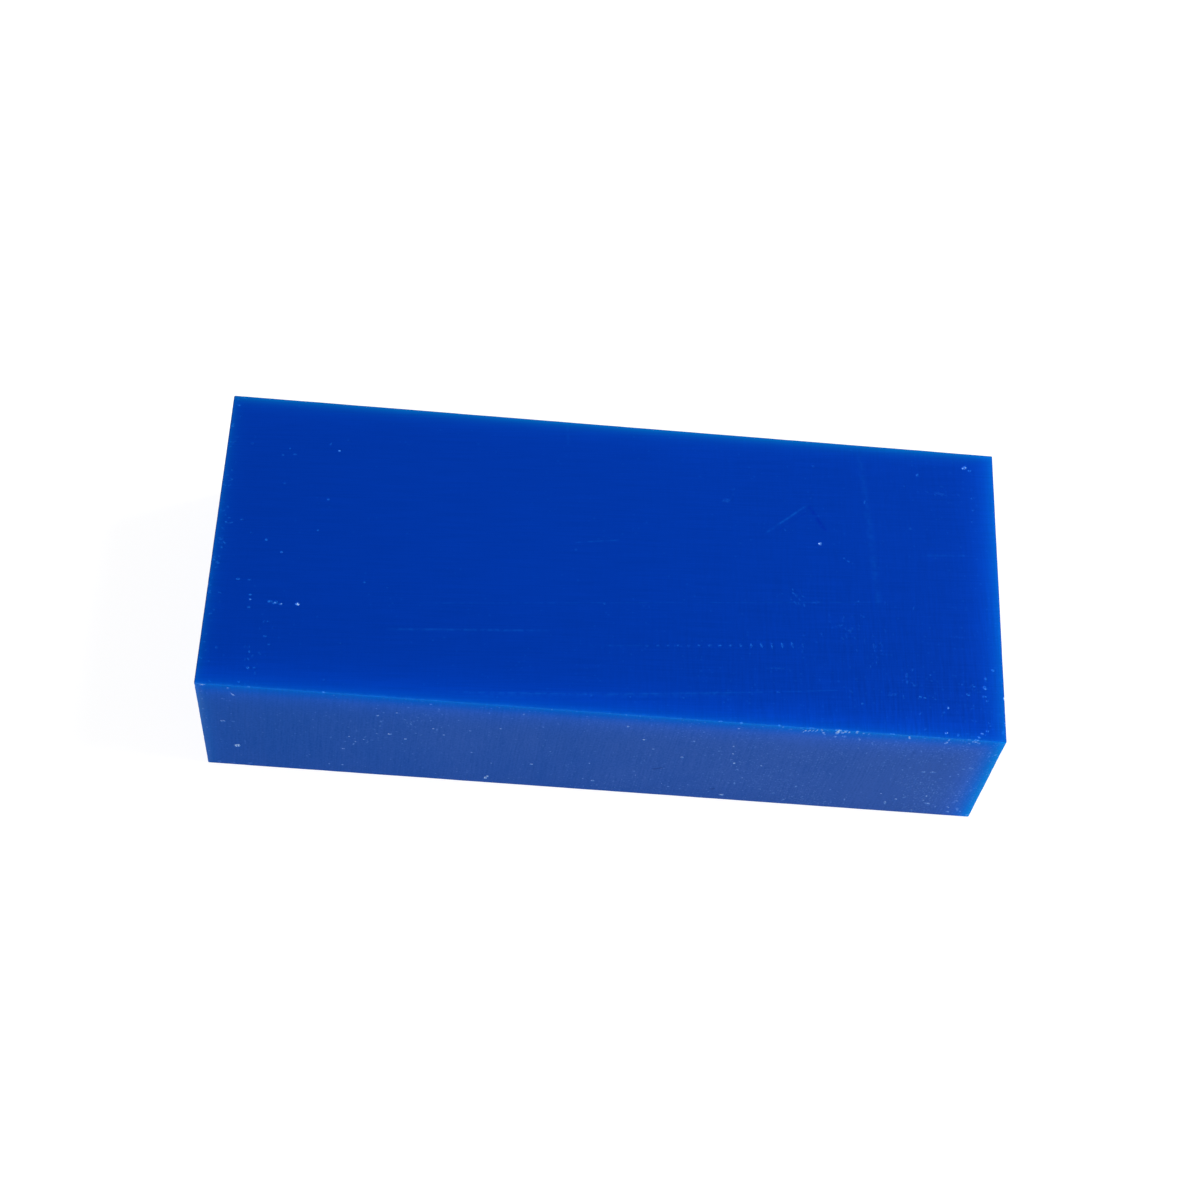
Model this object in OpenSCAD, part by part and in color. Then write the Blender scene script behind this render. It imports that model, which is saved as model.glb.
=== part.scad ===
/* [Block] */
// Length of the block, from end to end
block_length = 177.8; // [100:0.1:300]
// Width of the block, from the front side to the back side
block_width = 76.2; // [50:0.1:150]
// Thickness of the block, from the base to the work face
block_thickness = 38.1; // [12:0.1:75]

/* [Worn edges] */
// Radius worn on the four upright corner edges
corner_radius = 0.4; // [0.1:0.05:3]
// Radius worn on the edges that run along the length
long_edge_radius = 0.25; // [0.1:0.05:2]
// Radius worn on the top and bottom edges of the two ends
end_edge_radius = 0.3; // [0.1:0.05:2]

/* [Bruises on the front top edge] */
// Distance from the right end to the middle of the largest bruise
bruise_place = 36.6; // [10:0.1:60]
// Length of the largest bruise, along the edge
bruise_length = 2.6; // [1:0.1:6]
// Depth of the largest bruise, square to the worn edge
bruise_depth = 0.35; // [0.1:0.05:1]
// Spacing of the smaller bruises on either side of it
bruise_spacing = 3.3; // [3:0.1:6]

/* [Dings in the faces] */
// Length of the longest ding, the gouge near the back right corner
gouge_length = 1.9; // [1:0.1:5]
// Width of that gouge
gouge_width = 0.9; // [0.4:0.1:2]
// Width of a round ding
ding_width = 1.1; // [0.5:0.1:3]
// Depth of every ding in a face
ding_depth = 0.15; // [0.05:0.05:0.5]

/* [Hidden] */

$fn = 64;
overrun = 1; // how far a profile is carried past the faces that it cuts
wax_blue = [0.0, 0.2, 0.63];

// Cluster of bruises on the front top edge, as steps of the spacing from the largest one towards the
// right end, and the share of its length and depth that each has
bruise_cluster = [[0, 1], [-1.1, 0.7], [-2, 0.75], [1, 0.45]];

// Bruises that stand alone on that edge, as the distance from the right end and the share
lone_bruises = [[21.3, 0.5], [12.8, 0.55], [7, 0.6]];

// Round dings in the work face: 1 for the right end or -1 for the left one and the distance from it,
// 1 for the back or -1 for the front and the distance from it, and the share of the width and depth
top_dings = [
    [1, 41.2, 1, 28.2, 1], [1, 30.6, 1, 15.9, 0.6], [1, 18.1, 1, 7.1, 0.65], [1, 49.1, 1, 25.3, 0.5],
    [1, 2.3, -1, 18, 0.8], [1, 4.4, -1, 13.4, 1], [1, 12.8, -1, 7.6, 0.7], [1, 13.4, -1, 1.3, 0.7],
    [-1, 20.2, -1, 21.6, 1], [-1, 15.4, -1, 21.6, 0.9], [-1, 25.6, 1, 13.2, 0.65]
];

// Round dings in the front side: the same across, then 1 for the work face or -1 for the base and the
// distance from it, and the share
front_dings = [
    [1, 32, 1, 3.6, 0.9], [1, 13, 1, 16.7, 1.1], [1, 10.9, -1, 5.6, 1.2], [1, 11.9, -1, 9.3, 0.8],
    [1, 20.7, -1, 4.5, 1], [1, 58.5, -1, 2.4, 1], [-1, 64.6, -1, 2.8, 1.2], [-1, 7.9, -1, 9.7, 1.5],
    [-1, 8.1, 1, 4.1, 0.9]
];

// Place along one direction from the middle of the block, so that each mark keeps its distance from its
// own edge: the side is 1 or -1
function inset(side, size, distance) = side * (size / 2 - distance);

// Radius of the circle whose rim, sunk by a depth, cuts a chord in a flat face
function radius_over(chord, depth) = (chord * chord / 4 + depth * depth) / (2 * depth);

// Rectangle with rounded corners, centred across and standing on the axis
module rounded_section(size, radius) {
    translate([radius - size.x / 2, 0])
        square([size.x - 2 * radius, size.y]);
    translate([-size.x / 2, radius])
        square([size.x, size.y - 2 * radius]);
    for (side = [-1, 1], height = [radius, size.y - radius])
        translate([side * (size.x / 2 - radius), height])
            circle(radius);
}

// The sawn block with each family of edges worn to its own radius: what three rounded prisms have in common
module eased_block() {
    intersection() {
        translate([0, -block_width / 2, 0])
            linear_extrude(block_thickness)
                rounded_section([block_length, block_width], corner_radius);
        translate([0, block_width / 2 + overrun, 0])
            rotate([90, 0, 0])
                linear_extrude(block_width + 2 * overrun)
                    rounded_section([block_length, block_thickness], end_edge_radius);
        translate([-block_length / 2 - overrun, 0, 0])
            rotate([90, 0, 90])
                linear_extrude(block_length + 2 * overrun)
                    rounded_section([block_width, block_thickness], long_edge_radius);
    }
}

// Tool for one shallow mark in a face that looks up: the rim of an upright disc, sunk by the depth.
// The disc's radius gives the mark its length along X, and the roundness of the rim gives it its width.
module scoop(length, width, depth) {
    rim = radius_over(width, depth);
    disc = max(radius_over(length, depth), rim);
    translate([0, 0, disc - depth])
        rotate([90, 0, 0])
            rotate_extrude()
                intersection() {
                    translate([disc - rim, 0])
                        circle(rim);
                    translate([0, -rim])
                        square([disc, 2 * rim]);
                }
}

// One bruise where the front top edge was knocked, sunk square to the worn edge
module edge_bruise(distance, share) {
    worn_back = long_edge_radius * (1 - sqrt(0.5)); // how far the wear has taken the edge back, each way
    translate([
        inset(1, block_length, distance),
        inset(-1, block_width, worn_back),
        block_thickness - worn_back
    ])
        rotate([45, 0, 0])
            scoop(share * bruise_length, share * bruise_length / 2, share * bruise_depth);
}

module edge_bruises() {
    for (bruise = bruise_cluster)
        edge_bruise(bruise_place - bruise[0] * bruise_spacing, bruise[1]);
    for (bruise = lone_bruises)
        edge_bruise(bruise[0], bruise[1]);
}

// One round ding in a face that looks up
module ding(share) {
    scoop(share * ding_width, share * ding_width, share * ding_depth);
}

// Dings and one long gouge in the work face
module top_face_dings() {
    for (place = top_dings)
        translate([
            inset(place[0], block_length, place[1]),
            inset(place[2], block_width, place[3]),
            block_thickness
        ])
            ding(place[4]);
    gouge_from_right = 6.8;
    gouge_from_back = 4.1;
    gouge_heading = -20;
    translate([
        inset(1, block_length, gouge_from_right),
        inset(1, block_width, gouge_from_back),
        block_thickness
    ])
        rotate([0, 0, gouge_heading])
            scoop(gouge_length, gouge_width, ding_depth);
}

// Dings in the front side, most of them low down and near the right end
module front_side_dings() {
    for (place = front_dings)
        translate([
            inset(place[0], block_length, place[1]),
            -block_width / 2,
            block_thickness / 2 + inset(place[2], block_thickness, place[3])
        ])
            rotate([90, 0, 0])
                ding(place[4]);
}

module wax_block() {
    color(wax_blue)
        difference() {
            eased_block();
            edge_bruises();
            top_face_dings();
            front_side_dings();
        }
}

wax_block();
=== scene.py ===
import math

import bmesh
import bpy
import numpy as np
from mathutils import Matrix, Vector


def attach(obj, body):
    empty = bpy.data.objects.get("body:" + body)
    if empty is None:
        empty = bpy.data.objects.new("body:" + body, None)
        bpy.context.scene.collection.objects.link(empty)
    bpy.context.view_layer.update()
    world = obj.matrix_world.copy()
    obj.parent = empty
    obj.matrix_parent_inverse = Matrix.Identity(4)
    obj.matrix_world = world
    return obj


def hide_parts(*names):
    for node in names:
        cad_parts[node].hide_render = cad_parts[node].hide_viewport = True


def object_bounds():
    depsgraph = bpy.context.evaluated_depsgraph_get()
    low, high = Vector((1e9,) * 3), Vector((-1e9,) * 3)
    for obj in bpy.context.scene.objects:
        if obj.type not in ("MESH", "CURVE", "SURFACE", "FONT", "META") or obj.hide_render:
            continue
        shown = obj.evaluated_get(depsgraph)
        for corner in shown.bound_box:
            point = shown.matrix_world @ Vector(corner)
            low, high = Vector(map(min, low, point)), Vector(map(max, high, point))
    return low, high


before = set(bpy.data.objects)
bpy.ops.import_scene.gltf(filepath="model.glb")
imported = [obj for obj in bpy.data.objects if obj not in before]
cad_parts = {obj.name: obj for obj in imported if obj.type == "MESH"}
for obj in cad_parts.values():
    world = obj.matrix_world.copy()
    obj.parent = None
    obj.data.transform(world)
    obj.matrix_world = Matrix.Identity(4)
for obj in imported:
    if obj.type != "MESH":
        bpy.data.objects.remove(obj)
cadLow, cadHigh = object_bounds()
mm = 0.001  # shapes are worked out in millimetres and stored in metres

low = np.array(cadLow) / mm
high = np.array(cadHigh) / mm
length, width, thickness = high - low
midPoint, halfSides = tuple((high + low) / 2), tuple((high - low) / 2)
print("frame:", *(round(side, 2) for side in (length, width, thickness)), "mm")


def feed(node, inputs):
    # each input is either joined to a socket or given a value
    for name, value in inputs.items():
        if isinstance(value, bpy.types.NodeSocket):
            node.id_data.links.new(value, node.inputs[name])
        else:
            node.inputs[name].default_value = value
    return node


def addNode(tree, kind, **settings):
    node = tree.nodes.new(kind)
    for name, value in settings.items():
        setattr(node, name, value)
    return node


def nodeOn(inputs, kind, **settings):
    # a node in the tree that its inputs come from
    tree = next(value.id_data for value in inputs.values() if isinstance(value, bpy.types.NodeSocket))
    return feed(addNode(tree, kind, **settings), inputs)


def maths(operation, *values, clamp=False):
    inputs = dict(enumerate(values))
    return nodeOn(inputs, "ShaderNodeMath", operation=operation, use_clamp=clamp).outputs[0]


def inTurn(operation):
    # does its sum on the first two values, then on the result and the third, and so on
    def work(first, *others, clamp=False):
        for other in others:
            first = maths(operation, first, other, clamp=clamp)
        return first
    return work


plus, minus, times, over, largest = map(inTurn, ("ADD", "SUBTRACT", "MULTIPLY", "DIVIDE", "MAXIMUM"))


def vectorMaths(operation, *values, out="Vector", **named):
    inputs = {**dict(enumerate(values)), **named}
    return nodeOn(inputs, "ShaderNodeVectorMath", operation=operation).outputs[out]


def dot(first, second):
    return vectorMaths("DOT_PRODUCT", first, second, out="Value")


def split(vector):
    return nodeOn({0: vector}, "ShaderNodeSeparateXYZ").outputs


def joined(*parts):
    return nodeOn(dict(enumerate(parts)), "ShaderNodeCombineXYZ").outputs[0]


def coloured(*parts):
    return nodeOn(dict(enumerate(parts)), "ShaderNodeCombineColor").outputs[0]


def mixed(factor, first, second, blend="MIX"):
    # two colours mixed by a factor; each is a socket or a fixed colour
    inputs = {0: factor, 6: first, 7: second}
    return nodeOn(inputs, "ShaderNodeMix", data_type="RGBA", blend_type=blend).outputs[2]


def mixedVector(factor, first, second):
    return nodeOn({0: factor, 4: first, 5: second}, "ShaderNodeMix", data_type="VECTOR").outputs[1]


def ranged(value, fromMin, fromMax, toMin=0.0, toMax=1.0):
    # runs from toMin to toMax while the value runs from fromMin to fromMax, and stops there
    inputs = {"Value": value, "From Min": fromMin, "From Max": fromMax, "To Min": toMin, "To Max": toMax}
    return nodeOn(inputs, "ShaderNodeMapRange").outputs[0]


def noise(place, dimensions="3D", **inputs):
    inputs["Vector"] = place
    return nodeOn(inputs, "ShaderNodeTexNoise", noise_dimensions=dimensions).outputs[0]


def noiseAt(point, size, detail=2.0):
    # noise whose lumps are about size mm across
    return noise(point, Scale=1 / size, Detail=detail)


def newGroup(name, vectors, numbers, result):
    # a shader node group that turns named vectors and numbers into one number, and its inner ends
    tree = bpy.data.node_groups.new(name, "ShaderNodeTree")
    for names, kind in ((vectors, "NodeSocketVector"), (numbers, "NodeSocketFloat")):
        for each in names:
            tree.interface.new_socket(each, in_out="INPUT", socket_type=kind)
    tree.interface.new_socket(result, in_out="OUTPUT", socket_type="NodeSocketFloat")
    start = tree.nodes.new("NodeGroupInput").outputs
    end = tree.nodes.new("NodeGroupOutput").inputs
    return tree, start, end


def useGroup(group, inputs):
    return nodeOn(inputs, "ShaderNodeGroup", node_tree=group).outputs[0]


# The worn block: a sharp box lattice, refined round its marks, rounded at its edges and then pressed in

block = {
    "latticeStep": 2.0,  # mm between the lattice lines on the flats
    "edgeLines": (0.1, 0.2, 0.3, 0.42, 0.6, 0.95),  # mm from an edge, where the lines lie closer
    "longEdgeWear": 0.25,  # mm, radius worn on the edges that run along the length
    "endEdgeWear": 0.3,  # mm, radius worn on the top and bottom edges of the ends
    "cornerWear": 0.4,  # mm, radius worn on the four upright edges
    "wearReach": 2.5,  # mm over which one radius passes into the next at a corner
    "wander": 0.3,  # share by which a worn radius wanders along its edge
    "wanderRipples": ((0.6, 14, 3), (0.4, 3.5, 4)),  # share, size in mm and seed of each ripple in that
    "finestStep": 0.16,  # mm between lattice points inside a mark
    "stepGrowth": 0.75,  # how fast the lattice coarsens away from a mark
    "rounds": 4,  # halvings allowed on one lattice edge
    "leftLean": 0.62,  # mm by which the left end was sawn out of square, at the base
    "leanReach": 4.0,  # mm from the left end over which that dies away
}

rippleWaves = {"count": 9, "spread": (0.6, 1.6), "evenness": 1.4}


def latticeLines(start, end):
    # even steps between the two ends, with close lines worked in at both of them
    close = np.array(block["edgeLines"])
    steps = max(2, round((end - start - 2 * close[-1]) / block["latticeStep"]))
    inner = np.linspace(start + close[-1], end - close[-1], steps + 1)
    return np.concatenate([[start], start + close[:-1], inner, end - close[:-1][::-1], [end]])


def boxLattice(xs, ys, zs):
    # all lattice points on the box's surface, each once, and the quads between them, facing outwards
    counts = (len(xs), len(ys), len(zs))
    i, j, k = np.indices(counts)
    onSurface = (i % (counts[0] - 1) == 0) | (j % (counts[1] - 1) == 0) | (k % (counts[2] - 1) == 0)
    number = np.full(counts, -1)
    number[onSurface] = np.arange(onSurface.sum())
    points = np.stack([xs[i], ys[j], zs[k]], axis=-1)[onSurface]
    quads = []
    for axis, outwardEnd in enumerate((-1, 0, -1)):
        for end in (-1, 0):
            sheet = number.take(end, axis)
            corners = [sheet[:-1, :-1], sheet[1:, :-1], sheet[1:, 1:], sheet[:-1, 1:]]
            if end != outwardEnd:
                corners.reverse()
            quads.append(np.stack(corners, axis=-1).reshape(-1, 4))
    return points, np.concatenate(quads)


def readPoints(mesh):
    flat = np.empty(len(mesh.vertices) * 3, np.float32)
    mesh.vertices.foreach_get("co", flat)
    return flat.reshape(-1, 3).astype(float)


def refine(mesh, wantedStep):
    # halves each edge that is longer than the step wanted at its middle, round after round
    for _ in range(block["rounds"]):
        ends = np.empty(len(mesh.edges) * 2, np.int32)
        mesh.edges.foreach_get("vertices", ends)
        points = readPoints(mesh)[ends.reshape(-1, 2)]
        span = np.linalg.norm(points[:, 0] - points[:, 1], axis=1)
        tooLong = np.flatnonzero(span > wantedStep(points.mean(axis=1)))
        if not len(tooLong):
            return
        work = bmesh.new()
        work.from_mesh(mesh)
        work.edges.ensure_lookup_table()
        chosen = [work.edges[n] for n in tooLong]
        bmesh.ops.subdivide_edges(work, edges=chosen, cuts=1, use_grid_fill=True, use_single_edge=True)
        work.to_mesh(mesh)
        work.free()


def ripple(points, size, seed):
    # unevenness from about -1 to 1: a sum of sine waves about size mm long, of chance direction and phase
    dice = np.random.default_rng(seed)
    waves = rippleWaves["count"]
    ways = dice.normal(size=(3, waves))
    ways *= 2 * np.pi / size * dice.uniform(*rippleWaves["spread"], waves) / np.linalg.norm(ways, axis=0)
    phases = dice.uniform(0, 2 * np.pi, waves)
    return np.sin(points @ ways + phases).sum(axis=1) / math.sqrt(waves) / rippleWaves["evenness"]


def wornRadius(points):
    # each family of edges has its own radius; near a corner they are weighed by exp(-distance / reach)
    gaps = np.minimum(points - low, high - points)
    pairs = ((1, 2), (0, 2), (0, 1))
    nearness = [np.exp(-(gaps[:, a] + gaps[:, b]) / block["wearReach"]) for a, b in pairs]
    radii = [block["longEdgeWear"], block["endEdgeWear"], block["cornerWear"]]
    blend = sum(n * r for n, r in zip(nearness, radii)) / sum(nearness)
    change = sum(share * ripple(points, size, seed) for share, size, seed in block["wanderRipples"])
    return blend * (1 + block["wander"] * change)


def roundEdges(points):
    # a point goes to its radius from the nearest point of the box shrunk by that radius, along the line
    # between the two
    radius = wornRadius(points)[:, None]
    centre = np.clip(points, low + radius, high - radius)
    outward = points - centre
    outward /= np.linalg.norm(outward, axis=1)[:, None]
    return centre + radius * outward, outward


def leanLeftEnd(points):
    # the left end leans inwards, by its full amount at the base and by none at the work face
    fromEnd = np.clip(1 - (points[:, 0] - low[0]) / block["leanReach"], 0, 1)
    points[:, 0] += block["leftLean"] * fromEnd * (1 - points[:, 2] / thickness)


# Marks: each lies on a face or on an edge, and is measured across and up it in mm from its first corner

def corner(*ends):
    return np.where(ends, high, low)


slant = math.sqrt(0.5)
sheets = {
    # first corner, direction across and the way it looks; up is then outward x across
    "top": (corner(0, 0, 1), (1, 0, 0), (0, 0, 1)),
    "front": (corner(0, 0, 0), (1, 0, 0), (0, -1, 0)),
    "back": (corner(1, 1, 0), (-1, 0, 0), (0, 1, 0)),
    "rightEnd": (corner(1, 0, 0), (0, 1, 0), (1, 0, 0)),
    "leftEnd": (corner(0, 1, 0), (0, -1, 0), (-1, 0, 0)),
    "base": (corner(0, 1, 0), (1, 0, 0), (0, 0, -1)),
    "frontTopEdge": (corner(0, 0, 1), (1, 0, 0), (0, -slant, slant)),
    "rightTopEdge": (corner(1, 0, 1), (0, 1, 0), (slant, 0, slant)),
    "leftTopEdge": (corner(0, 1, 1), (0, -1, 0), (-slant, 0, slant)),
    "backBaseEdge": (corner(1, 1, 0), (-1, 0, 0), (0, slant, -slant)),
    "rightFrontEdge": (corner(1, 0, 0), (0, 0, 1), (slant, -slant, 0)),
    "rightBackEdge": (corner(1, 1, 0), (0, 0, 1), (slant, slant, 0)),
    "leftBackEdge": (corner(0, 1, 0), (0, 0, 1), (-slant, slant, 0)),
    "leftFrontEdge": (corner(0, 0, 0), (0, 0, 1), (-slant, -slant, 0)),
}

marking = {
    "leastWidth": 0.8,  # mm, the least that a mark measures square to its face
    "stepsAcross": 5,  # lattice steps over a mark's width
    "faintDepth": 0.04,  # mm, under which a mark needs fewer of them
    "faintStep": 1.5,
    "chipDepth": (0.04, 0.16),  # mm, to begin with and for each mm of width up to one
    "speckDepth": 0.05,  # mm
    "speckSquat": 0.85,
    "raggedRim": 0.45,
    "raggedRipple": (0.9, 8),  # size in mm and seed
    "paleRise": 1.8,  # how fast the paleness rises from the rim inwards
    "search": (1.8, 0.5),  # times a mark's reach, and mm more, within which points are looked at
}


def directions(sheet):
    # a face's first corner and its directions across, up and outwards
    origin, right, outward = (np.array(part, float) for part in sheets[sheet])
    return origin, right, np.cross(outward, right), outward


def placeOn(sheet, across, up):
    origin, right, upward, _ = directions(sheet)
    return origin + across * right + up * upward


def mark(sheet, across, up, size, depth, paleness, heading=0):
    # one oval mark: where it lies, its length and width, its depth and how much it whitens the wax
    _, right, upward, outward = directions(sheet)
    turn = math.radians(heading)
    fine = max(block["finestStep"], min(size) / marking["stepsAcross"])
    return {
        "place": placeOn(sheet, across, up),
        "along": (math.cos(turn) * right + math.sin(turn) * upward) * 2 / size[0],
        "aside": (math.cos(turn) * upward - math.sin(turn) * right) * 2 / size[1],
        "outward": outward * 2 / max(marking["leastWidth"], min(size)),
        "reach": max(size) / 2,
        "fine": fine * (marking["faintStep"] if depth < marking["faintDepth"] else 1),
        "depth": depth,
        "paleness": paleness,
    }


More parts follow.
